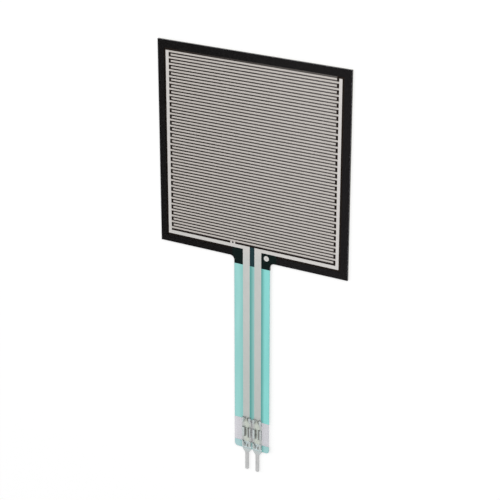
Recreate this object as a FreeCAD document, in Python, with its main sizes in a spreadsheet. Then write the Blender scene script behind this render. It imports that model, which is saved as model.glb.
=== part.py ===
import FreeCAD, Part
import os
import Sketcher

# Square force sensing resistor with a flat tail and two crimped solder tabs, lying on its back.
# Millimetres. The origin is the middle of the head on its rear face, +Y runs from the tail to the
# far edge of the head and +Z is the side that is pressed, where the silver comb shows.

SIZES = {
    # square head, cut from film together with the tail
    "head_width": 43.69,
    "head_length": 43.69,
    "tail_length": 44.35,
    "tail_margin": 2.035,
    "neck_length": 1.6,
    "neck_radius": 1.0,
    "tail_corner_radius": 0.7,
    # layers, from the table up
    "liner_thick": 0.09,
    "adhesive_thick": 0.05,
    "back_film_thick": 0.13,
    "carbon_thick": 0.02,
    "spacer_thick": 0.13,
    "front_film_thick": 0.13,
    # printed silver: bare borders round the comb, its buses and its fingers
    "silver_thick": 0.015,
    "left_border": 1.845,
    "right_border": 2.075,
    "top_border": 2.105,
    "foot_border": 1.915,
    "left_bus_width": 0.7,
    "right_bus_width": 0.68,
    "foot_bus_width": 0.74,
    "finger_width": 0.37,
    "left_finger_count": 30,
    "finger_tip_gap": 0.5,
    "foot_gap": 0.47,
    # traces down the tail, and the pads that the tabs are crimped to
    "trace_width": 1.6,
    "trace_gap": 1.11,
    "pad_rim": 0.1,
    "pad_flare": 1.1,
    "pad_end_margin": 0.05,
    # round marks printed in silver
    "ring_mark_diameter": 1.2,
    "ring_mark_hole": 0.42,
    "ring_mark_from_trace": 2.4,
    "dot_diameter": 1.16,
    "dot_hole": 0.14,
    "dot_from_trace": 1.185,
    "dot_from_edge": 0.845,
    # dielectric print over the traces, with a bare window under the tabs
    "dielectric_thick": 0.02,
    "dielectric_top_inset": 0.05,
    "dielectric_left_reach": 0.47,
    "dielectric_right_reach": 1.47,
    "end_strip_length": 1.6,
    "window_length": 5.45,
    # spacer frame: its opening round the comb, and the air vent between the traces
    "opening_margin": 0.4,
    "vent_clearance": 0.05,
    # solder tabs, stamped from sheet and crimped through the film
    "tab_pitch": 2.54,
    "tab_sheet": 0.2,
    "plate_gap": 0.49,
    "plate_end_land": 0.2,
    "plate_end_chamfer": 0.35,
    "shoulder_reach": 0.3,
    "shoulder_length": 0.85,
    "shoulder_radius": 0.6,
    "pin_width": 0.8,
    "pin_length": 4.05,
    "pin_root_radius": 0.3,
    "pin_tip_radius": 0.25,
    "claw_inset": 1.2,
    "claw_pitch": 2.83,
    "middle_claw_length": 2.1,
    "end_claw_length": 1.17,
    "claw_point_length": 0.35,
    "claw_tip_gap": 0.42,
    "claw_height": 0.3,
    "claw_bend_radius": 0.05,
    "claw_slot_clearance": 0.03,
}

doc = FreeCAD.newDocument("ForceSensingResistor")
sheet = doc.addObject("Spreadsheet::Sheet", "Sizes")
for row, (alias, number) in enumerate(SIZES.items(), start=1):
    sheet.set(f"A{row}", alias)
    sheet.set(f"B{row}", str(number))
    sheet.setAlias(f"B{row}", alias)
doc.recompute()


def size(expression):
    """The number that an expression on the sheet's sizes gives now."""
    return float(sheet.evalExpression(expression))


def new_body(name, level, x="0", y="0"):
    """An empty body whose own origin lies at x, y and at a level of the stack."""
    body = doc.addObject("PartDesign::Body", name)
    body.Label = name
    body.setExpression("Placement.Base.x", x)
    body.setExpression("Placement.Base.y", y)
    body.setExpression("Placement.Base.z", level)
    return body


def new_sketch(body, name, plane="XY_Plane", offset="0"):
    """A sketch on one of the body's own origin planes, moved along the plane's normal by offset."""
    sketch = body.newObject("Sketcher::SketchObject", name)
    support = [feature for feature in body.Origin.OriginFeatures if feature.Role == plane][0]
    sketch.AttachmentSupport = [(support, "")]
    sketch.MapMode = "FlatFace"
    sketch.setExpression("AttachmentOffset.Base.z", offset)
    return sketch


def tie_across(sketch, element, end, place, kind="DistanceX"):
    """Holds one point of a sketch at an expression across it, or up it with kind DistanceY."""
    index = sketch.addConstraint(Sketcher.Constraint(kind, -1, 1, element, end, size(place)))
    sketch.setExpression(f"Constraints[{index}]", place)


def tie_point(sketch, element, end, x, y):
    """Holds one point of a sketch at x, y, both expressions on the sheet."""
    tie_across(sketch, element, end, x)
    tie_across(sketch, element, end, y, "DistanceY")


def draw_outline(sketch, corners):
    """Closed outline of straight edges. Each corner is a pair of expressions."""
    points = [FreeCAD.Vector(size(x), size(y), 0) for x, y in corners]
    first = sketch.GeometryCount
    for start, end in zip(points, points[1:] + points[:1]):
        sketch.addGeometry(Part.LineSegment(start, end), False)
    for step, (x, y) in enumerate(corners):
        following = first + (step + 1) % len(corners)
        sketch.addConstraint(Sketcher.Constraint("Coincident", first + step, 2, following, 1))
        tie_point(sketch, first + step, 1, x, y)


def draw_circle(sketch, x, y, diameter):
    """Circle at x, y."""
    centre = FreeCAD.Vector(size(x), size(y), 0)
    circle = sketch.addGeometry(Part.Circle(centre, FreeCAD.Vector(0, 0, 1), size(diameter) / 2), False)
    tie_point(sketch, circle, 3, x, y)
    index = sketch.addConstraint(Sketcher.Constraint("Diameter", circle, size(diameter)))
    sketch.setExpression(f"Constraints[{index}]", diameter)


def pad(body, sketch, thick):
    """Gives a sketch its thickness along the normal of its plane."""
    feature = body.newObject("PartDesign::Pad", f"{sketch.Name}_pad")
    feature.Profile = sketch
    feature.setExpression("Length", thick)
    return feature


def pocket(body, sketch, depth):
    """Cuts a sketch out of the body, upwards from the sketch."""
    feature = body.newObject("PartDesign::Pocket", f"{sketch.Name}_pocket")
    feature.Profile = sketch
    feature.Reversed = True
    feature.setExpression("Length", depth)
    return feature


def upright_edges(feature, places):
    """Names of the feature's edges along Z at the given pairs of expressions, in the body's own frame."""
    doc.recompute()
    found = []
    for x, y in places:
        corner = FreeCAD.Vector(size(x), size(y), 0)
        for index, edge in enumerate(feature.Shape.Edges, start=1):
            ends = [vertex.Point for vertex in edge.Vertexes]
            if all(FreeCAD.Vector(end.x, end.y, 0).distanceToPoint(corner) < 1e-4 for end in ends):
                found.append(f"Edge{index}")
    return found


def round_corners(body, feature, radius, places):
    """Rounds the upright edges at the given places."""
    fillet = body.newObject("PartDesign::Fillet", f"{feature.Name}_{radius}")
    fillet.Base = (feature, upright_edges(feature, places))
    fillet.setExpression("Radius", f"Sizes.{radius}")
    return fillet


# levels of the stack
LINER_TOP = "Sizes.liner_thick"
ADHESIVE_TOP = f"{LINER_TOP} + Sizes.adhesive_thick"
BACK_FILM_TOP = f"{ADHESIVE_TOP} + Sizes.back_film_thick"
CARBON_TOP = f"{BACK_FILM_TOP} + Sizes.carbon_thick"
FRONT_FILM_REAR = f"{CARBON_TOP} + Sizes.spacer_thick"
SILVER_REAR = f"{FRONT_FILM_REAR} - Sizes.silver_thick"
DIELECTRIC_REAR = f"{SILVER_REAR} - Sizes.dielectric_thick"

# edges of the head and the tail
HEAD_SIDE = "Sizes.head_width / 2"
HEAD_TOP = "Sizes.head_length / 2"
HEAD_FOOT = "-Sizes.head_length / 2"
TRACE_INNER = "Sizes.trace_gap / 2"
TRACE_OUTER = f"({TRACE_INNER} + Sizes.trace_width)"
TAIL_SIDE = f"({TRACE_OUTER} + Sizes.tail_margin)"
TAIL_END = f"({HEAD_FOOT} - Sizes.tail_length)"
NECK_END = f"({HEAD_FOOT} - Sizes.neck_length)"


def draw_head_and_tail(sketch, end):
    """The square head with the tail's strip running down from it to end."""
    draw_outline(sketch, [
        (f"-{HEAD_SIDE}", HEAD_TOP),
        (f"-{HEAD_SIDE}", HEAD_FOOT),
        (f"-{TAIL_SIDE}", HEAD_FOOT),
        (f"-{TAIL_SIDE}", end),
        (TAIL_SIDE, end),
        (TAIL_SIDE, HEAD_FOOT),
        (HEAD_SIDE, HEAD_FOOT),
        (HEAD_SIDE, HEAD_TOP),
    ])


def neck_corners():
    """The two inner corners where the tail leaves the head."""
    return [(f"-{TAIL_SIDE}", HEAD_FOOT), (TAIL_SIDE, HEAD_FOOT)]


def cut_sheet(name, level, thick, end):
    """Film or print with the outline of the head, and of the tail down to end."""
    body = new_body(name, level)
    sketch = new_sketch(body, f"{name}_outline")
    draw_head_and_tail(sketch, end)
    feature = pad(body, sketch, thick)
    round_corners(body, feature, "neck_radius", neck_corners())
    return body


def head_sheet(name, level, thick):
    """Square sheet under the head alone."""
    body = new_body(name, level)
    sketch = new_sketch(body, f"{name}_outline")
    draw_outline(sketch, [
        (f"-{HEAD_SIDE}", HEAD_TOP),
        (f"-{HEAD_SIDE}", HEAD_FOOT),
        (HEAD_SIDE, HEAD_FOOT),
        (HEAD_SIDE, HEAD_TOP),
    ])
    pad(body, sketch, thick)
    return body


# Rear of the head: release liner, the adhesive that it protects, the back film and its carbon print.
release_liner = head_sheet("release_liner", "0", "Sizes.liner_thick")
rear_adhesive = head_sheet("rear_adhesive", LINER_TOP, "Sizes.adhesive_thick")
back_film = cut_sheet("back_film", ADHESIVE_TOP, "Sizes.back_film_thick", NECK_END)
carbon_layer = cut_sheet("carbon_layer", BACK_FILM_TOP, "Sizes.carbon_thick", NECK_END)

# Silver comb. Its outline keeps a bare border all round, and a foot bus runs to each trace.
COMB_LEFT = f"(-{HEAD_SIDE} + Sizes.left_border)"
COMB_RIGHT = f"({HEAD_SIDE} - Sizes.right_border)"
COMB_TOP = f"({HEAD_TOP} - Sizes.top_border)"
COMB_FOOT = f"({HEAD_FOOT} + Sizes.foot_border)"
LEFT_BUS_INNER = f"({COMB_LEFT} + Sizes.left_bus_width)"
RIGHT_BUS_INNER = f"({COMB_RIGHT} - Sizes.right_bus_width)"
FOOT_BUS_TOP = f"({COMB_FOOT} + Sizes.foot_bus_width)"
LOWEST_FINGER = f"({FOOT_BUS_TOP} + Sizes.foot_gap)"
FINGER_PITCH = (
    f"(({COMB_TOP} - {LOWEST_FINGER} - Sizes.finger_width) / (2 * (Sizes.left_finger_count - 1)))"
)

# Solder tabs, seen from above: half widths, and distances up from the end of the film.
PLATE_HALF = "((Sizes.tab_pitch - Sizes.plate_gap) / 2)"
PAD_HALF = f"({PLATE_HALF} + Sizes.pad_rim)"
LOWER_CLAWS = "Sizes.claw_inset"
MIDDLE_CLAWS = f"({LOWER_CLAWS} + Sizes.claw_pitch)"
UPPER_CLAWS = f"({MIDDLE_CLAWS} + Sizes.claw_pitch)"
PLATE_TOP = f"({UPPER_CLAWS} + Sizes.end_claw_length / 2 + Sizes.plate_end_land)"


def draw_conductor(sketch, side, comb_side, bus_inner):
    """Bus, foot bus, trace and crimp pad of one electrode. side is "-" on the left and "" on the right."""
    pad_inner = f"({side}(Sizes.tab_pitch / 2 - {PAD_HALF}))"
    pad_outer = f"({side}(Sizes.tab_pitch / 2 + {PAD_HALF}))"
    flare_end = f"({TAIL_END} + {PLATE_TOP} - Sizes.pad_flare)"
    flare_start = f"({TAIL_END} + {PLATE_TOP})"
    pad_end = f"({TAIL_END} + Sizes.pad_end_margin)"
    draw_outline(sketch, [
        (comb_side, COMB_TOP),
        (comb_side, COMB_FOOT),
        (f"{side}{TRACE_OUTER}", COMB_FOOT),
        (f"{side}{TRACE_OUTER}", flare_start),
        (pad_outer, flare_end),
        (pad_outer, pad_end),
        (pad_inner, pad_end),
        (pad_inner, flare_end),
        (f"{side}{TRACE_INNER}", flare_start),
        (f"{side}{TRACE_INNER}", FOOT_BUS_TOP),
        (bus_inner, FOOT_BUS_TOP),
        (bus_inner, COMB_TOP),
    ])


def add_fingers(body, name, root, tip, lowest, count):
    """One finger from root to tip, repeated up the comb at every second pitch."""
    sketch = new_sketch(body, f"{name}_finger")
    draw_outline(sketch, [
        (root, lowest),
        (tip, lowest),
        (tip, f"{lowest} + Sizes.finger_width"),
        (root, f"{lowest} + Sizes.finger_width"),
    ])
    finger = pad(body, sketch, "Sizes.silver_thick")
    row = body.newObject("PartDesign::LinearPattern", f"{name}_fingers")
    row.Originals = [finger]
    row.Direction = (sketch, ["V_Axis"])
    row.Mode = "Spacing"
    row.setExpression("Offset", f"2 * {FINGER_PITCH}")
    row.setExpression("Occurrences", count)
    body.Tip = row


# Left electrode: thirty fingers from the left bus. A round mark with a hole in it joins the lowest
# finger to the foot bus.
left_silver = new_body("left_silver", SILVER_REAR)
left_outline = new_sketch(left_silver, "left_conductor")
draw_conductor(left_outline, "-", COMB_LEFT, LEFT_BUS_INNER)
pad(left_silver, left_outline, "Sizes.silver_thick")
add_fingers(left_silver, "left", COMB_LEFT, f"{RIGHT_BUS_INNER} - Sizes.finger_tip_gap",
            LOWEST_FINGER, "Sizes.left_finger_count")
MARK_X = f"(-{TRACE_OUTER} - Sizes.ring_mark_from_trace)"
MARK_Y = f"({FOOT_BUS_TOP} + Sizes.foot_gap / 2)"
mark_disc = new_sketch(left_silver, "ring_mark_disc")
draw_circle(mark_disc, MARK_X, MARK_Y, "Sizes.ring_mark_diameter")
pad(left_silver, mark_disc, "Sizes.silver_thick")
mark_hole = new_sketch(left_silver, "ring_mark_centre")
draw_circle(mark_hole, MARK_X, MARK_Y, "Sizes.ring_mark_hole")
pocket(left_silver, mark_hole, "Sizes.silver_thick")

# Right electrode: its fingers stand half way between those of the left one.
right_silver = new_body("right_silver", SILVER_REAR)
right_outline = new_sketch(right_silver, "right_conductor")
draw_conductor(right_outline, "", COMB_RIGHT, RIGHT_BUS_INNER)
pad(right_silver, right_outline, "Sizes.silver_thick")
add_fingers(right_silver, "right", COMB_RIGHT, f"{LEFT_BUS_INNER} + Sizes.finger_tip_gap",
            f"({LOWEST_FINGER} + {FINGER_PITCH})", "Sizes.left_finger_count - 1")

# Round dot beside the right trace, with a pinhole at its centre.
DOT_X = f"({TRACE_OUTER} + Sizes.dot_from_trace)"
DOT_Y = f"({HEAD_FOOT} + Sizes.dot_from_edge)"
index_dot = new_body("index_dot", SILVER_REAR)
dot_sketch = new_sketch(index_dot, "dot_ring")
draw_circle(dot_sketch, DOT_X, DOT_Y, "Sizes.dot_diameter")
draw_circle(dot_sketch, DOT_X, DOT_Y, "Sizes.dot_hole")
pad(index_dot, dot_sketch, "Sizes.silver_thick")

# Dielectric print, as wide as the tail, that covers the traces and reaches up behind the foot bus.
# Its blank is cut back below by the silver that it was printed over.
DIELECTRIC_TOP = f"({FOOT_BUS_TOP} - Sizes.dielectric_top_inset)"
DIELECTRIC_LEFT = f"(-{TAIL_SIDE} - Sizes.dielectric_left_reach)"
DIELECTRIC_RIGHT = f"({TAIL_SIDE} + Sizes.dielectric_right_reach)"
WINDOW_FOOT = f"({TAIL_END} + Sizes.end_strip_length)"
WINDOW_TOP = f"({WINDOW_FOOT} + Sizes.window_length)"
PRINT_THICK = "Sizes.silver_thick + Sizes.dielectric_thick"

dielectric_blank = new_body("dielectric_blank", DIELECTRIC_REAR)
blank_outline = new_sketch(dielectric_blank, "dielectric_outline")
draw_outline(blank_outline, [
    (DIELECTRIC_LEFT, DIELECTRIC_TOP),
    (DIELECTRIC_LEFT, HEAD_FOOT),
    (f"-{TAIL_SIDE}", HEAD_FOOT),
    (f"-{TAIL_SIDE}", WINDOW_TOP),
    (TAIL_SIDE, WINDOW_TOP),
    (TAIL_SIDE, HEAD_FOOT),
    (DIELECTRIC_RIGHT, HEAD_FOOT),
    (DIELECTRIC_RIGHT, DIELECTRIC_TOP),
])
pad(dielectric_blank, blank_outline, PRINT_THICK)

end_strip_blank = new_body("end_strip_blank", DIELECTRIC_REAR)
strip_outline = new_sketch(end_strip_blank, "end_strip_outline")
draw_outline(strip_outline, [
    (f"-{TAIL_SIDE}", WINDOW_FOOT),
    (f"-{TAIL_SIDE}", TAIL_END),
    (TAIL_SIDE, TAIL_END),
    (TAIL_SIDE, WINDOW_FOOT),
])
strip_pad = pad(end_strip_blank, strip_outline, PRINT_THICK)
TAIL_CORNERS = [(f"-{TAIL_SIDE}", TAIL_END), (TAIL_SIDE, TAIL_END)]
round_corners(end_strip_blank, strip_pad, "tail_corner_radius", TAIL_CORNERS)

# Spacer adhesive: a frame round the comb that holds the films apart. The air inside leaves by a vent
# between the two traces, down to the end of the neck.
spacer_blank = cut_sheet("spacer_blank", CARBON_TOP, "Sizes.spacer_thick", NECK_END)
opening = new_sketch(spacer_blank, "spacer_opening")
VENT_SIDE = f"({TRACE_INNER} - Sizes.vent_clearance)"
OPENING_FOOT = f"({COMB_FOOT} - Sizes.opening_margin)"
draw_outline(opening, [
    (f"{COMB_LEFT} - Sizes.opening_margin", f"{COMB_TOP} + Sizes.opening_margin"),
    (f"{COMB_LEFT} - Sizes.opening_margin", OPENING_FOOT),
    (f"-{VENT_SIDE}", OPENING_FOOT),
    (f"-{VENT_SIDE}", NECK_END),
    (VENT_SIDE, NECK_END),
    (VENT_SIDE, OPENING_FOOT),
    (f"{COMB_RIGHT} + Sizes.opening_margin", OPENING_FOOT),
    (f"{COMB_RIGHT} + Sizes.opening_margin", f"{COMB_TOP} + Sizes.opening_margin"),
])
pocket(spacer_blank, opening, "Sizes.spacer_thick")

# Clear front film, with the whole tail. It is one film, but a seam stays across its faces where the
# back film ends, so that the part of the front that is pressed is a face of its own.
front_blank = cut_sheet("front_blank", FRONT_FILM_REAR, "Sizes.front_film_thick", NECK_END)
front_tail_outline = new_sketch(front_blank, "front_tail_outline")
draw_outline(front_tail_outline, [
    (f"-{TAIL_SIDE}", NECK_END),
    (f"-{TAIL_SIDE}", TAIL_END),
    (TAIL_SIDE, TAIL_END),
    (TAIL_SIDE, NECK_END),
])
front_tail = pad(front_blank, front_tail_outline, "Sizes.front_film_thick")
front_tail.Refine = False
front_end = round_corners(front_blank, front_tail, "tail_corner_radius", TAIL_CORNERS)
front_end.Refine = False

# Solder tabs. Each is a stamped plate behind the film with a flat pin below it. Three pairs of claws
# rise from its sides, go up through slots in the pad and the film, and are pressed over flat on top,
# with their points down on the film.
CLAW_ROWS = [
    ("lower", LOWER_CLAWS, "Sizes.end_claw_length", ""),
    ("middle", MIDDLE_CLAWS, "Sizes.middle_claw_length", None),
    ("upper", UPPER_CLAWS, "Sizes.end_claw_length", "-"),
]
FILM_TOP = "(Sizes.tab_sheet + Sizes.dielectric_thick + Sizes.silver_thick + Sizes.front_film_thick)"
CLAW_BEND = "(Sizes.claw_bend_radius + Sizes.tab_sheet)"
BEND_BASE = f"({FILM_TOP} + Sizes.claw_height - {CLAW_BEND})"
PIN_ROOT = "(-Sizes.shoulder_reach - Sizes.shoulder_length)"
PIN_TIP = f"({PIN_ROOT} - Sizes.pin_length)"


def draw_claw(sketch):
    """Section of the right claw: a leg up the plate's side, a flat crown inwards and the point down."""
    outer = f"{PLATE_HALF}"
    outer_inside = f"({PLATE_HALF} - Sizes.tab_sheet)"
    outer_bend = f"({PLATE_HALF} - {CLAW_BEND})"
    point = "(Sizes.claw_tip_gap / 2)"
    point_inside = f"({point} + Sizes.tab_sheet)"
    point_bend = f"({point} + {CLAW_BEND})"
    crown = f"({BEND_BASE} + {CLAW_BEND})"
    crown_inside = f"({BEND_BASE} + Sizes.claw_bend_radius)"
    corners = [
        (outer, BEND_BASE),
        (outer, "0"),
        (outer_inside, "0"),
        (outer_inside, BEND_BASE),
        (outer_bend, crown_inside),
        (point_bend, crown_inside),
        (point_inside, BEND_BASE),
        (point_inside, FILM_TOP),
        (point, FILM_TOP),
        (point, BEND_BASE),
        (point_bend, crown),
        (outer_bend, crown),
    ]
    places = [FreeCAD.Vector(size(x), size(z), 0) for x, z in corners]
    centres = [FreeCAD.Vector(size(x), size(BEND_BASE), 0) for x in (outer_bend, point_bend)]
    quarter = FreeCAD.Units.Quantity("90 deg").getValueAs("rad").Value

    def edge(start):
        """Straight edge from one corner to the next."""
        return Part.LineSegment(places[start], places[(start + 1) % len(places)])

    def bend(centre, radius, turns):
        """Quarter of a circle that starts after so many quarter turns."""
        circle = Part.Circle(centre, FreeCAD.Vector(0, 0, 1), size(radius))
        return Part.ArcOfCircle(circle, turns * quarter, (turns + 1) * quarter)

    sketch.addGeometry([
        edge(0),
        edge(1),
        edge(2),
        bend(centres[0], "Sizes.claw_bend_radius", 0),
        edge(4),
        bend(centres[1], "Sizes.claw_bend_radius", 1),
        edge(6),
        edge(7),
        edge(8),
        bend(centres[1], CLAW_BEND, 1),
        edge(10),
        bend(centres[0], CLAW_BEND, 0),
    ], False)
    joins = [
        (0, 2, 1, 1),
        (1, 2, 2, 1),
        (2, 2, 3, 1),
        (3, 2, 4, 1),
        (4, 2, 5, 1),
        (5, 2, 6, 1),
        (6, 2, 7, 1),
        (7, 2, 8, 1),
        (8, 2, 9, 2),
        (9, 1, 10, 1),
        (10, 2, 11, 2),
        (11, 1, 0, 1),
        (3, 3, 11, 3),
        (5, 3, 9, 3),
    ]
    for join in joins:
        sketch.addConstraint(Sketcher.Constraint("Coincident", *join))
    for element in (0, 1, 2, 6, 7, 8):
        tie_point(sketch, element, 1, *corners[element])
    tie_point(sketch, 2, 2, outer_inside, BEND_BASE)
    tie_point(sketch, 8, 2, point, BEND_BASE)
    tie_point(sketch, 3, 3, outer_bend, BEND_BASE)
    tie_point(sketch, 5, 3, point_bend, BEND_BASE)
    for element, end, x in ((4, 1, outer_bend), (4, 2, point_bend), (10, 1, point_bend), (10, 2, outer_bend)):
        tie_across(sketch, element, end, x)


def solder_tab(name, side):
    """Plate, pin and claws. Its own origin is on its middle line, at the end of the film."""
    body = new_body(name, f"{DIELECTRIC_REAR} - Sizes.tab_sheet", f"{side}Sizes.tab_pitch / 2", TAIL_END)
    flat = new_sketch(body, f"{name}_flat")
    chamfered_half = f"({PLATE_HALF} - Sizes.plate_end_chamfer)"
    draw_outline(flat, [
        (f"-{chamfered_half}", PLATE_TOP),
        (f"-{PLATE_HALF}", f"{PLATE_TOP} - Sizes.plate_end_chamfer"),
        (f"-{PLATE_HALF}", "-Sizes.shoulder_reach"),
        ("-Sizes.pin_width / 2", PIN_ROOT),
        ("-Sizes.pin_width / 2", PIN_TIP),
        ("Sizes.pin_width / 2", PIN_TIP),
        ("Sizes.pin_width / 2", PIN_ROOT),
        (PLATE_HALF, "-Sizes.shoulder_reach"),
        (PLATE_HALF, f"{PLATE_TOP} - Sizes.plate_end_chamfer"),
        (chamfered_half, PLATE_TOP),
    ])
    feature = pad(body, flat, "Sizes.tab_sheet")
    roundings = [
        ("shoulder_radius", PLATE_HALF, "-Sizes.shoulder_reach"),
        ("pin_root_radius", "Sizes.pin_width / 2", PIN_ROOT),
        ("pin_tip_radius", "Sizes.pin_width / 2", PIN_TIP),
    ]
    for radius, x, y in roundings:
        feature = round_corners(body, feature, radius, [(f"-{x}", y), (x, y)])
    for row, middle, length, taper in CLAW_ROWS:
        section = new_sketch(body, f"{name}_{row}_claw", "XZ_Plane", f"-({middle} - {length} / 2)")
        draw_claw(section)
        claw = pad(body, section, length)
        claw.Reversed = True
        pair = body.newObject("PartDesign::Mirrored", f"{name}_{row}_pair")
        pair.Originals = [claw]
        pair.MirrorPlane = (section, ["V_Axis"])
        body.Tip = pair
        if taper is not None:
            point_claws(body, f"{name}_{row}_points", middle, length, taper)
    return body


def point_claws(body, name, middle, length, taper):
    """Cuts a pair of end claws to points. Their slanted edges face the middle pair."""
    leg = f"({PLATE_HALF} - Sizes.tab_sheet)"
    point = "(Sizes.claw_tip_gap / 2)"
    base_edge = f"({middle} + {taper}{length} / 2)"
    clear_edge = f"({base_edge} + {taper}Sizes.claw_point_length)"
    point_edge = f"({middle} - {taper}({length} / 2 - Sizes.claw_point_length))"
    cutter = new_sketch(body, name, offset=FILM_TOP)
    draw_outline(cutter, [
        (f"-{leg}", clear_edge),
        (f"-{leg}", base_edge),
        (f"-{point}", point_edge),
        (point, point_edge),
        (leg, base_edge),
        (leg, clear_edge),
    ])
    pocket(body, cutter, "Sizes.claw_height + Sizes.tab_sheet")


left_tab = solder_tab("left_solder_tab", "-")
right_tab = solder_tab("right_solder_tab", "")


def claw_slots():
    """Slots for the legs of all the claws, each with its clearance, through every layer of the tail."""
    slots = []
    for tab, centre in (("left", "-Sizes.tab_pitch / 2"), ("right", "Sizes.tab_pitch / 2")):
        for row, middle, length, taper in CLAW_ROWS:
            for hand, edge in (("outer", f"-{PLATE_HALF}"), ("inner", f"{PLATE_HALF} - Sizes.tab_sheet")):
                slot = doc.addObject("Part::Box", f"{tab}_{row}_{hand}_slot")
                slot.setExpression("Length", "Sizes.tab_sheet + 2 * Sizes.claw_slot_clearance")
                slot.setExpression("Width", f"{length} + 2 * Sizes.claw_slot_clearance")
                slot.setExpression("Height", f"2 * ({PRINT_THICK} + Sizes.front_film_thick)")
                slot.setExpression("Placement.Base.x", f"{centre} + {edge} - Sizes.claw_slot_clearance")
                slot.setExpression(
                    "Placement.Base.y", f"{TAIL_END} + {middle} - {length} / 2 - Sizes.claw_slot_clearance"
                )
                slot.setExpression("Placement.Base.z", f"{DIELECTRIC_REAR} - Sizes.dielectric_thick")
                slots.append(slot)
    fused = doc.addObject("Part::MultiFuse", "claw_slots")
    fused.Shapes = slots
    return fused


def cut(name, base, tool):
    """What is left of base once tool is taken away."""
    feature = doc.addObject("Part::Cut", name)
    feature.Label = name
    feature.Base = base
    feature.Tool = tool
    return feature


slots = claw_slots()
front_film = cut("front_film", front_blank, slots)
front_film.Refine = False
left_electrode = cut("left_electrode", left_silver, slots)
right_electrode = cut("right_electrode", right_silver, slots)

silver_prints = doc.addObject("Part::MultiFuse", "silver_prints")
silver_prints.Shapes = [left_silver, right_silver, index_dot]
silver_and_slots = doc.addObject("Part::MultiFuse", "silver_and_slots")
silver_and_slots.Shapes = [silver_prints, slots]
tail_dielectric = cut("tail_dielectric", dielectric_blank, silver_and_slots)
end_dielectric = cut("end_dielectric", end_strip_blank, silver_and_slots)
spacer_adhesive = cut("spacer_adhesive", spacer_blank, dielectric_blank)

PIECES = [
    release_liner,
    rear_adhesive,
    back_film,
    carbon_layer,
    spacer_adhesive,
    tail_dielectric,
    end_dielectric,
    left_electrode,
    right_electrode,
    index_dot,
    front_film,
    left_tab,
    right_tab,
]

doc.recompute()
for item in doc.Objects:
    if any(state in item.State for state in ("Invalid", "Error")):
        raise RuntimeError(f"{item.Name} failed: {item.State}")
for piece in PIECES:
    if piece.Shape.isNull() or not piece.Shape.isValid():
        raise RuntimeError(f"{piece.Label} has no valid shape")

os.makedirs("parts", exist_ok=True)
for piece in PIECES:
    piece.Shape.exportStep(f"parts/{piece.Label}.step")
    box = piece.Shape.BoundBox
    print(
        f"{piece.Label}: {len(piece.Shape.Solids)} solid, {piece.Shape.Volume:.3f} mm3,"
        f" x {box.XMin:.3f} to {box.XMax:.3f}, y {box.YMin:.3f} to {box.YMax:.3f},"
        f" z {box.ZMin:.3f} to {box.ZMax:.3f}"
    )
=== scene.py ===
import math

import bmesh
import bpy
from mathutils import Matrix, Vector


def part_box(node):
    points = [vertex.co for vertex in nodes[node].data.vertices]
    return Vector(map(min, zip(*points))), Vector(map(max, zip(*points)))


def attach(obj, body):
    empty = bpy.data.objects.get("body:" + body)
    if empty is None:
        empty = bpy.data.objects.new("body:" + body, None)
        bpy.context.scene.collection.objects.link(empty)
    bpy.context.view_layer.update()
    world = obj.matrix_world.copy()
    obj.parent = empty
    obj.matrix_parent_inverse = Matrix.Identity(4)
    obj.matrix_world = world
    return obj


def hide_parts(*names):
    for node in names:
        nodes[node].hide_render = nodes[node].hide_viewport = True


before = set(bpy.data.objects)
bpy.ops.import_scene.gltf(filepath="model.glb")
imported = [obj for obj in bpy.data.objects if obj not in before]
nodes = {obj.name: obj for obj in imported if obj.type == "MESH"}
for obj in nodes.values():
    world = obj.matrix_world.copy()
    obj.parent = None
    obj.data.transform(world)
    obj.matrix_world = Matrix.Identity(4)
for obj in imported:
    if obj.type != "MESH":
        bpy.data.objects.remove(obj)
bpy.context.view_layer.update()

# Release liner: siliconised paper under the head, peeled off before the sensor is stuck down.
# Pale cream, with soft fibres in it and a dull wax-like sheen.


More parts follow.
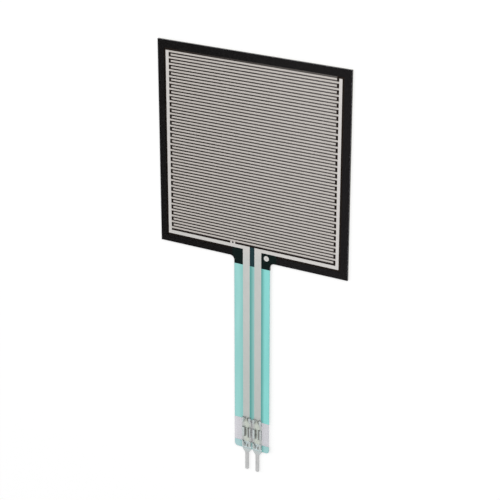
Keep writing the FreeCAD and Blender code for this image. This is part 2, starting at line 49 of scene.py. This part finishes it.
class Value:
    """One socket of a material. Sums and products of these add Math nodes; node() adds the others."""

    def __init__(self, socket):
        self.socket = socket

    def node(self, kind, settings, inputs, output=0):
        """A new node in the same material: its settings, then its sockets' numbers or links."""
        made = self.socket.id_data.nodes.new(kind)
        for name, setting in settings.items():
            setattr(made, name, setting)
        for name, value in inputs.items():
            if isinstance(value, Value):
                self.socket.id_data.links.new(value.socket, made.inputs[name])
            else:
                made.inputs[name].default_value = value
        return Value(made.outputs[output])

    def output(self, name):
        """Another output of the node that this value comes from."""
        return Value(self.socket.node.outputs[name])

    def along(self, axis):
        """One coordinate of a place or a direction."""
        return self.node("ShaderNodeSeparateXYZ", {}, {"Vector": self}).output(axis)

    def maths(self, operation, first, second=0.0):
        """One Math node."""
        return self.node("ShaderNodeMath", {"operation": operation}, {0: first, 1: second})

    def __add__(self, other):
        return self.maths("ADD", self, other)

    def __radd__(self, other):
        return self.maths("ADD", other, self)

    def __sub__(self, other):
        return self.maths("SUBTRACT", self, other)

    def __rsub__(self, other):
        return self.maths("SUBTRACT", other, self)

    def __mul__(self, other):
        return self.maths("MULTIPLY", self, other)

    def __rmul__(self, other):
        return self.maths("MULTIPLY", other, self)

    def __truediv__(self, other):
        return self.maths("DIVIDE", self, other)

    def __rtruediv__(self, other):
        return self.maths("DIVIDE", other, self)

    def __abs__(self):
        return self.maths("ABSOLUTE", self)

    def larger(self, other):
        """The larger of this and another value or number."""
        return self.maths("MAXIMUM", self, other)

    def rise(self, start, end):
        """0 up to start, 1 from end on, and a smooth rise between."""
        return self.node(
            "ShaderNodeMapRange",
            {"interpolation_type": "SMOOTHSTEP"},
            {"Value": self, "From Min": start, "From Max": end},
        )

    def past(self, edge, soft=0.00004):
        """0 before an edge and 1 past it, over a soft step of this half width."""
        return self.rise(edge - soft, edge + soft)

    def within(self, low, high, soft=0.00004):
        """1 between two edges and 0 outside them."""
        return self.past(low, soft) * (1 - self.past(high, soft))

    def spread(self, reach=0.2):
        """Noise, which stays near a half, spread out over 0 to 1."""
        return self.rise(0.5 - reach, 0.5 + reach)

    def blend(self, first, second):
        """The first colour where this is 0 and the second where it is 1."""
        return self.node(
            "ShaderNodeMix", {"data_type": "RGBA"}, {"Factor": self, 6: first, 7: second}, 2
        )

    def grain(self, size, detail=2.0, stretch=(1, 1, 1)):
        """Noise with lumps of about this size in metres, laid out by this value as coordinates."""
        placed = self.node("ShaderNodeMapping", {}, {"Vector": self, "Scale": stretch})
        return placed.node(
            "ShaderNodeTexNoise", {}, {"Vector": placed, "Scale": 1 / size, "Detail": detail}
        )

    def bump(self, height):
        """A normal from this value as a height in metres."""
        return self.node("ShaderNodeBump", {}, {"Height": self, "Distance": height, "Strength": 1.0})


def start_finish(name):
    """A new material and the Object coordinates that its pattern is laid out in."""
    material = bpy.data.materials.new(name)
    material.use_nodes = True
    material.node_tree.nodes.clear()
    return material, Value(material.node_tree.nodes.new("ShaderNodeTexCoord").outputs["Object"])


def close_finish(material, shader):
    """Ends a material with its shader."""
    end = material.node_tree.nodes.new("ShaderNodeOutputMaterial")
    material.node_tree.links.new(shader.socket, end.inputs["Surface"])


def surface(place, **inputs):
    """A Principled shader. Its sockets are named with _ for a space."""
    sockets = {name.replace("_", " "): value for name, value in inputs.items()}
    return place.node("ShaderNodeBsdfPrincipled", {}, sockets)


def dress(piece, material):
    """Gives a piece its material."""
    piece.data.materials.clear()
    piece.data.materials.append(material)


cream = (0.74, 0.71, 0.63, 1)
pale_cream = (0.82, 0.8, 0.73, 1)
paper, place = start_finish("siliconised_paper")
fibres = place.grain(0.0011, 4, (1, 0.35, 1))
cloud = place.grain(0.006)
close_finish(paper, surface(
    place,
    Base_Color=(fibres * 0.7 + cloud * 0.3).spread().blend(cream, pale_cream),
    Roughness=fibres * 0.2 + 0.38,
    Normal=place.grain(0.00025, 3).bump(0.000006),
))
dress(nodes["release_liner"], paper)

# Rear adhesive: a thin clear acrylic layer between the liner and the back film, die-cut with the
# head. Only its edge shows, a little yellow and shiny.
yellowed = (0.56, 0.55, 0.47, 1)
milky_white = (0.66, 0.65, 0.58, 1)
acrylic, place = start_finish("acrylic_adhesive")
close_finish(acrylic, surface(
    place,
    Base_Color=place.grain(0.0009).spread().blend(yellowed, milky_white),
    Roughness=place.grain(0.0004) * 0.2 + 0.18,
))
dress(nodes["rear_adhesive"], acrylic)

# Back film and its carbon print. The film is clear, but looks black from the print on it. The carbon
# is a matt screen print with a fine sandy grain, and looks paler between the silver fingers, which
# scatter light into it, most of all at the head's upper right.
deep_black = (0.008, 0.008, 0.009, 1)
soft_black = (0.013, 0.013, 0.014, 1)
backed_film, place = start_finish("film_over_carbon")
close_finish(backed_film, surface(
    place,
    Base_Color=place.grain(0.003).spread(0.15).blend(deep_black, soft_black),
    Roughness=place.grain(0.0015) * 0.08 + 0.16,
    Specular_IOR_Level=0.3,
))
dress(nodes["back_film"], backed_film)

coat_roughness = 0.06
coat_reflectance = 0.04
glare_start = 0.0015


def film_glare(place):
    """Gloss of the clear front film: none from above and full at a low angle."""
    slant = place.node("ShaderNodeLayerWeight", {}, {"Blend": 0.5}).output("Facing")
    return (slant.maths("POWER", slant, 5) - glare_start).larger(0)


def film_coat(place):
    """Weight of a coat that lends a print behind the film the film's own gloss."""
    glare = film_glare(place)
    return glare / ((glare + glare_start) * (1 - coat_reflectance) + coat_reflectance)


left_finger_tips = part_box("left_electrode")[1].x
right_finger_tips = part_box("right_electrode")[0].x
foot_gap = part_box("tail_dielectric")[1].y + 0.0003
carbon_black = (0.014, 0.010, 0.008, 1)
carbon_brown = (0.026, 0.019, 0.015, 1)
carbon_lit = (0.125, 0.115, 0.11, 1)
lit_half = 0.025
carbon, place = start_finish("carbon_print")
x = place.along("X")
y = place.along("Y")
sand = place.grain(0.00011, 3)
black = (sand * 0.6 + place.grain(0.004) * 0.4).spread().blend(carbon_black, carbon_brown)
between_fingers = x.within(right_finger_tips, left_finger_tips) * y.past(foot_gap)
to_upper_right = x.rise(-lit_half, lit_half) * (y.rise(-lit_half, 0.01) * 0.6 + 0.4)
close_finish(carbon, surface(
    place,
    Base_Color=(between_fingers * to_upper_right).blend(black, carbon_lit),
    Roughness=sand * 0.2 + 0.6,
    Specular_IOR_Level=0.03,
    Coat_Weight=film_coat(place),
    Coat_Roughness=coat_roughness,
    Normal=sand.bump(0.000008),
))
dress(nodes["carbon_layer"], carbon)

# Spacer adhesive: a frame of clear double-sided adhesive round the comb. It wets the carbon, so it
# looks as black as that does, with faint cloudy patches where it has taken, and painted light makes
# it a little paler towards the head's right side.
head_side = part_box("release_liner")[1].x
wet_black = (0.0034, 0.0027, 0.0028, 1)
cloudy_black = (0.0088, 0.0078, 0.0083, 1)
spacer, place = start_finish("adhesive_over_carbon")
# Cloudy patches, mixed with painted light that grows towards the head's right side.
patches_and_light = place.grain(0.0035, 3) * 0.4 + place.along("X").rise(-head_side, head_side) * 0.6
close_finish(spacer, surface(
    place,
    Base_Color=patches_and_light.spread(0.3).blend(wet_black, cloudy_black),
    Roughness=place.grain(0.0012) * 0.2 + 0.35,
    Specular_IOR_Level=0.05,
    Coat_Weight=film_coat(place),
    Coat_Roughness=coat_roughness,
))
dress(nodes["spacer_adhesive"], spacer)

# Silver print: polymer thick-film silver, screen printed on the rear of the front film. Satin warm
# grey with a very fine mesh grain, darker in the thin fingers, and seen through thin teal ink at the
# tail's end. Painted light makes it lighter towards the head's right side and darker and cooler down
# the tail, and a painted highlight makes it lighter and greenish under the claws.
finger_tip_gap = 0.0005
left_bus_edge = right_finger_tips - finger_tip_gap
right_bus_edge = left_finger_tips + finger_tip_gap
dot_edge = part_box("index_dot")[0].x
head_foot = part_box("release_liner")[0].y
neck_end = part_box("back_film")[0].y
tab_low, tab_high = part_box("right_solder_tab")
tab_middle = (tab_low.x + tab_high.x) / 2
window_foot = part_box("end_dielectric")[1].y
window_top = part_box("tail_dielectric")[0].y
dot_silver = (0.64, 0.64, 0.62, 1)
highlit_silver = (0.60, 0.64, 0.575, 1)
veiled_silver = (0.62, 0.705, 0.71, 1)
silver, place = start_finish("silver_print")
x = place.along("X")
y = place.along("Y")
mesh_grain = place.grain(0.00007)
grain = (mesh_grain * 0.5 + place.grain(0.0022, 3) * 0.5).spread()
# Painted light: the head's silver grows lighter towards the right, mixed with the grain.
grain_and_light_right = grain * 0.4 + x.rise(-head_side, head_side) * 0.6
bus_silver = grain_and_light_right.blend((0.585, 0.565, 0.545, 1), (0.68, 0.65, 0.63, 1))
finger_silver = grain_and_light_right.blend((0.50, 0.464, 0.433, 1), (0.575, 0.54, 0.514, 1))
on_fingers = x.within(left_bus_edge, right_bus_edge) * y.past(foot_gap)
head_silver = on_fingers.blend(bus_silver, finger_silver)
# Painted light: the traces grow darker and cooler down the tail, mixed with the grain.
grain_and_light_up_tail = grain * 0.4 + y.rise(window_foot, neck_end) * 0.6
trace_silver = grain_and_light_up_tail.blend((0.505, 0.53, 0.51, 1), (0.58, 0.585, 0.565, 1))
tail_silver = x.past(dot_edge).blend(trace_silver, dot_silver)
print_silver = y.rise(head_foot - 0.001, head_foot + 0.0033).blend(tail_silver, head_silver)
# Painted highlight: lighter, greenish silver along the tabs where the claws cross the window.
along_tabs = 1 - abs(abs(x) - tab_middle).rise(0.00045, 0.0007)
under_claws = along_tabs * y.within(window_foot, window_top, 0.0002)
bare_silver = under_claws.blend(print_silver, highlit_silver)
close_finish(silver, surface(
    place,
    Base_Color=y.past(window_foot).blend(veiled_silver, bare_silver),
    Metallic=0.2,
    Roughness=mesh_grain * 0.15 + 0.45,
    Specular_IOR_Level=0.1,
    Coat_Weight=film_coat(place),
    Coat_Roughness=coat_roughness,
    Normal=mesh_grain.bump(0.000002),
))
for name in ("left_electrode", "right_electrode", "index_dot"):
    dress(nodes[name], silver)

# Dielectric print: translucent teal ink over the traces. It is bright over nothing, deep teal over
# the vent and nearly black over the carbon of the neck. Each trace has a soft painted shadow beside
# it, mostly on its right.
trace_inner = 0.000555
trace_outer = 0.002155
side_strip = 0.003
left_shadow_reach = 0.00125
right_shadow_reach = 0.001
shadowed_teal = (0.115, 0.38, 0.35, 1)
black_teal = (0.006, 0.0125, 0.0115, 1)
deep_teal = (0.018, 0.043, 0.050, 1)
teal_ink, place = start_finish("teal_dielectric")
x = place.along("X")
y = place.along("Y")
streaks = place.grain(0.0012, 3, (1, 0.12, 1))
specks = place.grain(0.00016)
grain = (streaks * 0.7 + specks * 0.3).spread()
left_teal = grain.blend((0.33, 0.68, 0.65, 1), (0.38, 0.74, 0.71, 1))
right_teal = grain.blend((0.26, 0.70, 0.66, 1), (0.30, 0.76, 0.72, 1))
side_teal = x.rise(-side_strip, side_strip).blend(left_teal, right_teal)
middle_teal = grain.blend((0.275, 0.555, 0.525, 1), (0.315, 0.605, 0.58, 1))
tail_teal = abs(x).rise(trace_inner, trace_outer).blend(middle_teal, side_teal)
end_teal = x.rise(-side_strip, side_strip).blend((0.45, 0.68, 0.69, 1), (0.38, 0.67, 0.66, 1))
open_teal = y.past(window_foot).blend(end_teal, tail_teal)
between_traces = x.within(-trace_inner, trace_inner)
# Painted shadow beside each trace: full to its right, faint to the left of the left trace.
right_of_left_trace = between_traces * (1 - x.rise(-trace_inner, trace_inner))
right_of_right_trace = x.past(trace_outer) * (1 - x.rise(trace_outer, trace_outer + right_shadow_reach))
left_of_left_trace = x.rise(-trace_outer - left_shadow_reach, -trace_outer) * (1 - x.past(-trace_outer))
painted_shadow = right_of_left_trace + right_of_right_trace + left_of_left_trace * 0.25
over_carbon = between_traces.blend(black_teal, deep_teal)
close_finish(teal_ink, surface(
    place,
    Base_Color=y.past(neck_end).blend(painted_shadow.blend(open_teal, shadowed_teal), over_carbon),
    Roughness=specks * 0.15 + 0.45,
    Specular_IOR_Level=0.02,
    Coat_Weight=film_coat(place),
    Coat_Roughness=coat_roughness,
    Normal=specks.bump(0.000003),
))
for name in ("tail_dielectric", "end_dielectric"):
    dress(nodes[name], teal_ink)

# Front film: clear polyester, head and tail in one, cut to shape. Its rear stands a hair above the
# prints, which carry its gloss as a coat. Its cut edges are milky, and its bare window under the
# tabs has a lavender haze, thicker and dark grey between the two tabs as painted shade.
film_low, film_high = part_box("front_film")
hair = 0.000003
same_place = 1e-7
film = bmesh.new()
film.from_mesh(nodes["front_film"].data)
bmesh.ops.remove_doubles(film, verts=film.verts, dist=same_place)
rear_corners = [corner for corner in film.verts if corner.co.z < film_low.z + hair]
bmesh.ops.translate(film, verts=rear_corners, vec=(0, 0, hair))
bmesh.ops.dissolve_limit(film, angle_limit=math.radians(1), verts=film.verts, edges=film.edges)
film_mesh = bpy.data.meshes.new("clear_front_film")
film.to_mesh(film_mesh)
film.free()
front_film = bpy.data.objects.new("clear_front_film", film_mesh)
bpy.context.scene.collection.objects.link(front_film)

plate_half = (tab_high.x - tab_low.x) / 2
pad_half = plate_half + 0.0001
lavender = (0.42, 0.41, 0.48, 1)
painted_shade_grey = (0.28, 0.27, 0.285, 1)
clear_film, place = start_finish("clear_polyester")
x = place.along("X")
beside_pads = abs(abs(x) - tab_middle).past(pad_half)
on_rear = 1 - place.along("Z").rise(film_low.z, film_low.z + 0.00006)
window = place.along("Y").within(window_foot, window_top, 0.00008) * beside_pads * on_rear
# Painted shade: between the two tabs the window is veiled thicker and darker grey.
between_tabs = 1 - abs(x).rise(0.0002, 0.0004)
haze_and_shade = window * (place.grain(0.0012, 3) * 0.08 + between_tabs * 0.4 + 0.47)
face_slope = place.node("ShaderNodeNewGeometry", {}, {}, "True Normal").along("Z")
cut_edge = 1 - abs(face_slope).rise(0.4, 0.6)
film_surface = surface(
    place,
    Base_Color=between_tabs.blend(lavender, painted_shade_grey),
    Roughness=place.grain(0.002) * 0.03 + 0.35,
)
film_share = film_glare(place) * window + haze_and_shade + cut_edge * 0.3
nothing = place.node("ShaderNodeBsdfTransparent", {}, {})
close_finish(clear_film, place.node("ShaderNodeMixShader", {}, {0: film_share, 1: nothing, 2: film_surface}))
dress(front_film, clear_film)
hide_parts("front_film")
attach(front_film, "root")

# Solder tabs: tin-plated strip, stamped and crimped through the film. Satin grey with fine lines
# along the strip. Painted shade darkens the creases of the claws, most on the right ones, and a
# painted highlight lightens the right outer legs. Where the strip lies against the film it has a
# greenish cast.
middle_claws = film_low.y + 0.00403
slanted_reach = 0.003065
slanted_slope = 0.72
half_tip_gap = 0.00021
crease_blur = 0.00006
grey_tin = (0.46, 0.465, 0.465, 1)
pale_tin = (0.55, 0.55, 0.55, 1)
greenish_tin = (0.50, 0.575, 0.57, 1)
highlight_tin = (0.74, 0.75, 0.74, 1)
crease_shade = (0.17, 0.17, 0.155, 1)
for name in ("left_solder_tab", "right_solder_tab"):
    low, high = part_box(name)
    tin, place = start_finish(f"{name}_tin")
    across = place.along("X") - (low.x + high.x) / 2
    y = place.along("Y")
    above_film = place.along("Z").rise(film_high.z, film_high.z + 0.00003)
    strip_lines = place.grain(0.0003, 3, (1, 0.04, 1))
    bloom = place.grain(0.0007, 3)
    ragged = place.grain(0.0005, 3) * 0.0002 - 0.0001

    # Painted shade in the creases of the claws, heavier on the right claw of each pair.
    from_middle = abs(y - middle_claws)
    middle_pair = 1 - from_middle.past(0.00125, 0.0001)
    left_crease = (across + ragged).within(-0.00042, -0.00012, crease_blur) * 0.85
    right_crease = (across + ragged).within(0.00045, 0.0008, crease_blur)
    free_edge = (slanted_reach - from_middle).larger(0) * slanted_slope + half_tip_gap
    slanted_crease = (abs(across) - free_edge + ragged).within(-0.0001, 0.00045, crease_blur)
    near_tip = 1 - abs(across).rise(0.0005, 0.00075)
    darker_right = across.rise(-0.0002, 0.0002) * 0.55 + 0.45
    middle_creases = middle_pair * (left_crease + right_crease)
    end_creases = (1 - middle_pair) * slanted_crease * near_tip * darker_right

    bare_tin = (strip_lines * 0.4 + bloom * 0.6).spread().blend(grey_tin, pale_tin)
    near_film = y.rise(film_low.y - 0.0013, film_low.y - 0.0003) * 0.7
    # Painted highlight on the right outer leg of each tab, above the film.
    highlit_leg = across.rise(plate_half - 0.0001, plate_half - 0.00003) * above_film
    unshaded_tin = highlit_leg.blend(near_film.blend(bare_tin, greenish_tin), highlight_tin)
    close_finish(tin, surface(
        place,
        Base_Color=((middle_creases + end_creases) * above_film).blend(unshaded_tin, crease_shade),
        Metallic=0.5,
        Roughness=bloom * 0.2 + 0.3,
        Normal=strip_lines.bump(0.000002),
    ))
    dress(nodes[name], tin)

# Floor, lamps and camera. The floor is white to the camera and in gloss, keeps the shadow, and lies a
# hair under the part. A wide lamp on the left and a small one on the right fill in the sky's light.
floor_half = 3
floor_drop = 0.00001
floor_shape = bmesh.new()
bmesh.ops.create_grid(floor_shape, x_segments=1, y_segments=1, size=floor_half)
bmesh.ops.translate(floor_shape, verts=floor_shape.verts, vec=(0, 0, -floor_drop))
floor_mesh = bpy.data.meshes.new("floor")
floor_shape.to_mesh(floor_mesh)
floor_shape.free()
floor = bpy.data.objects.new("floor", floor_mesh)
bpy.context.scene.collection.objects.link(floor)


def seen_directly(ray):
    """1 for rays that show the background: from the camera, and in gloss and glass."""
    return ray.larger(ray.output("Is Glossy Ray")).larger(ray.output("Is Transmission Ray"))


white_floor, place = start_finish("white_floor")
ray = place.node("ShaderNodeLightPath", {}, {})
close_finish(white_floor, surface(
    place,
    Base_Color=(0.5, 0.5, 0.5, 1),
    Roughness=0.8,
    Specular_IOR_Level=0.0,
    Emission_Color=seen_directly(ray).blend((0, 0, 0, 1), (1, 1, 1, 1)),
    Emission_Strength=0.56,
))
floor.data.materials.append(white_floor)

world_light = 0.6
world = bpy.data.worlds.new("soft_light")
world.use_nodes = True
sky = world.node_tree.nodes["Background"]
sky.inputs["Color"].default_value = (1, 1, 1, 1)
ray = Value(world.node_tree.nodes.new("ShaderNodeLightPath").outputs["Is Camera Ray"])
strength = seen_directly(ray) * (1 - world_light) + world_light
world.node_tree.links.new(strength.socket, sky.inputs["Strength"])
bpy.context.scene.world = world

for name, spot, width, power in (
    ("left_lamp", (-0.55, 0.05, 0.50), 0.8, 1.6),
    ("right_lamp", (0.24, 0.26, 0.30), 0.2, 0.7),
):
    lamp = bpy.data.lights.new(name, "AREA")
    lamp.size = width
    lamp.energy = power
    light = bpy.data.objects.new(name, lamp)
    light.location = spot
    light.rotation_mode = "QUATERNION"
    light.rotation_quaternion = Vector(spot).to_track_quat("Z", "Y")
    bpy.context.scene.collection.objects.link(light)

camera_spot = Vector((0.162309, 0.119754, 0.285843))
camera_aim = Vector((-0.000722, -0.020045, 0))
camera_roll = math.radians(-124.4184)
camera = bpy.data.objects.new("camera", bpy.data.cameras.new("camera"))
camera.data.sensor_width = 36
camera.data.lens = 125.76
camera.data.clip_start = 0.01
level_turn = (camera_spot - camera_aim).to_track_quat("Z", "Y").to_matrix()
turn = level_turn @ Matrix.Rotation(camera_roll, 3, "Z")
camera.matrix_world = Matrix.Translation(camera_spot) @ turn.to_4x4()
bpy.context.scene.collection.objects.link(camera)
bpy.context.scene.camera = camera

bpy.context.scene.view_settings.view_transform = "Standard"
